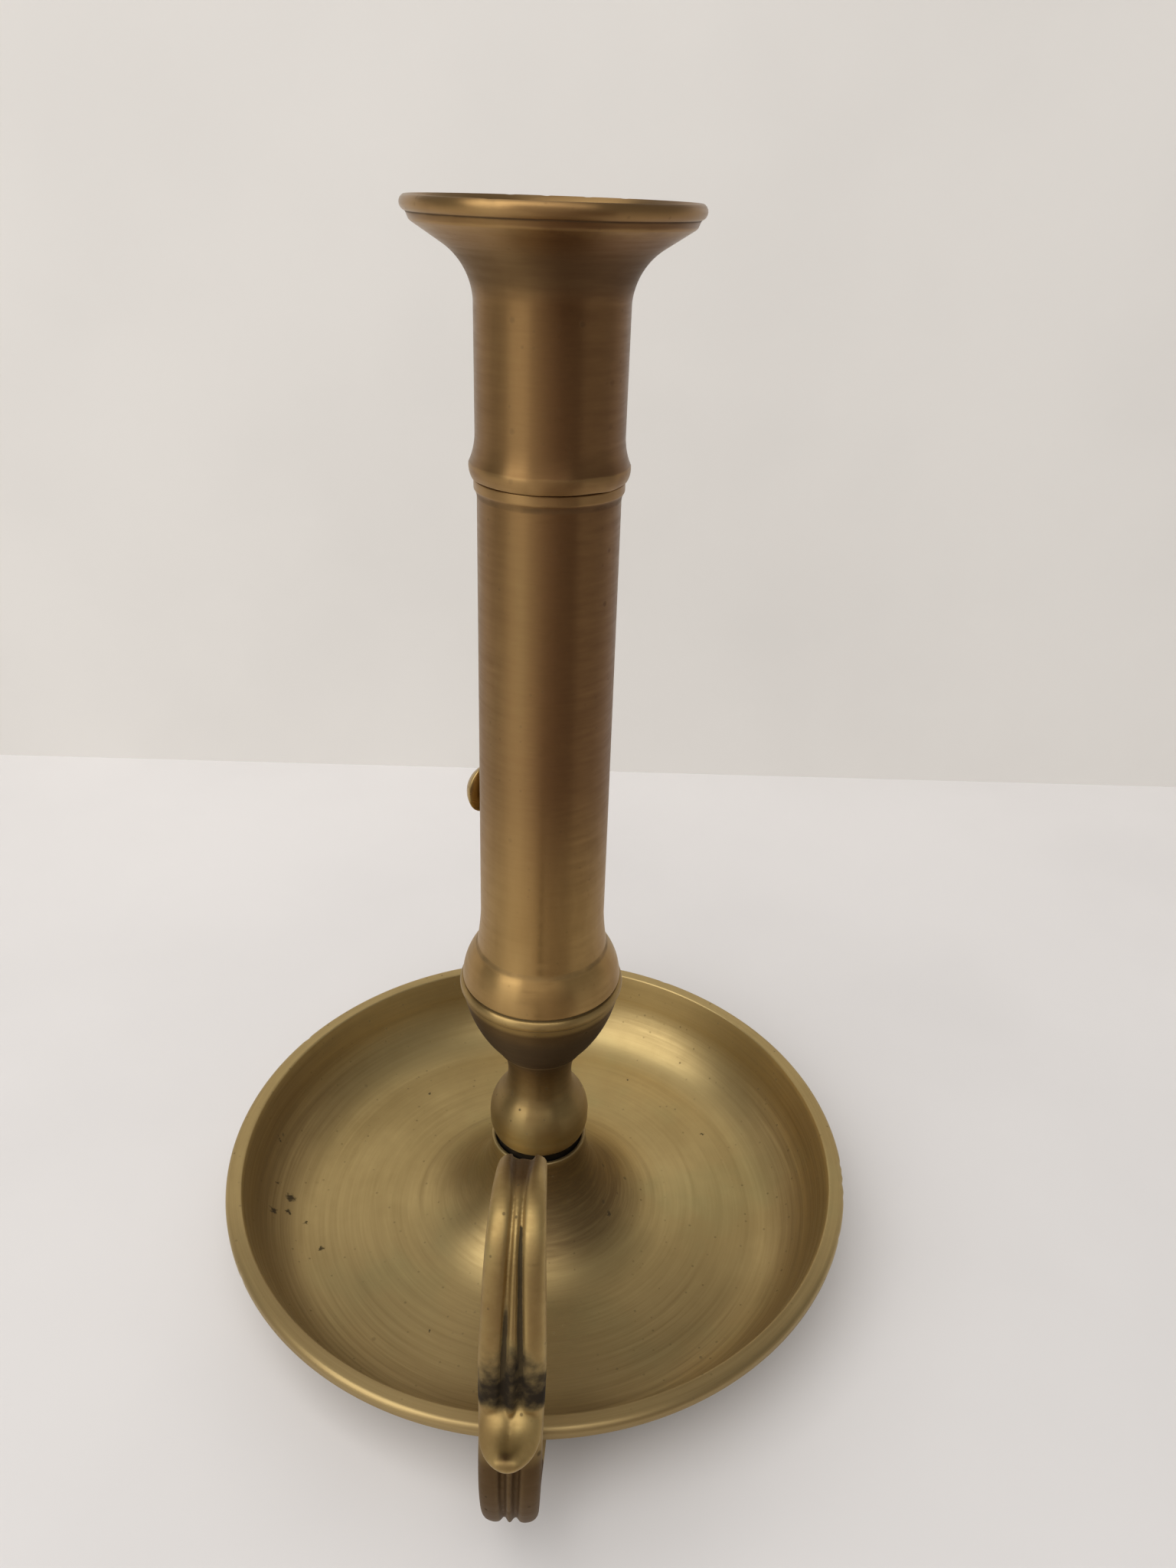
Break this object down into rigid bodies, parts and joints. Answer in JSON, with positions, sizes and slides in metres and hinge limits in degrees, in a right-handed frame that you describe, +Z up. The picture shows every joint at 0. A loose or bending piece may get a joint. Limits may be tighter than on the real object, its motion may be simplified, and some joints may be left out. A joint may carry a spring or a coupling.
{
  "type": "chamberstick",
  "caption": "Turned brass chamberstick: wide drip pan with a cast finger loop, baluster stem, and a tall candle tube with a sliding side ejector under a flared nozzle.",
  "frame": {"origin": "on the stem's axis, on the plane that the pan's foot stands on", "axes": "+Z up along the stem and candle tube, -Y towards the finger loop, +X to the right when the loop faces the viewer"},
  "size_m": [0.1412, 0.1613, 0.2177],
  "materials": {
    "pan_brass": "aged satin brass with turning lines",
    "stem_brass": "aged satin brass, turned",
    "tube_brass": "aged satin brass, drawn and brushed",
    "cast_brass": "cast brass, worn on the edges and dark in the grooves",
    "small_brass": "aged brass",
    "blackened_brass": "blackened by grime",
    "spring_steel": "thin blued spring steel, dulled"
  },
  "bodies": {
    "body": {"drip_pan": "pan_brass", "bedding_ring": "blackened_brass", "stem": "stem_brass", "stem_washer": "small_brass", "stem_nut": "small_brass", "candle_tube": "tube_brass", "nozzle": "tube_brass", "finger_loop": "cast_brass", "handle_screws": "small_brass"},
    "ejector": {"ejector_knob": "small_brass", "ejector_stud": "small_brass", "lifter_cup": "small_brass", "friction_spring": "spring_steel", "spring_rivet": "small_brass"}
  },
  "joints": [
    {"name": "ejector_slide", "type": "slide", "parent": "body", "child": "ejector", "axis": [0, 0, 1], "range_m": [-0.017, 0.0544]}
  ]
}
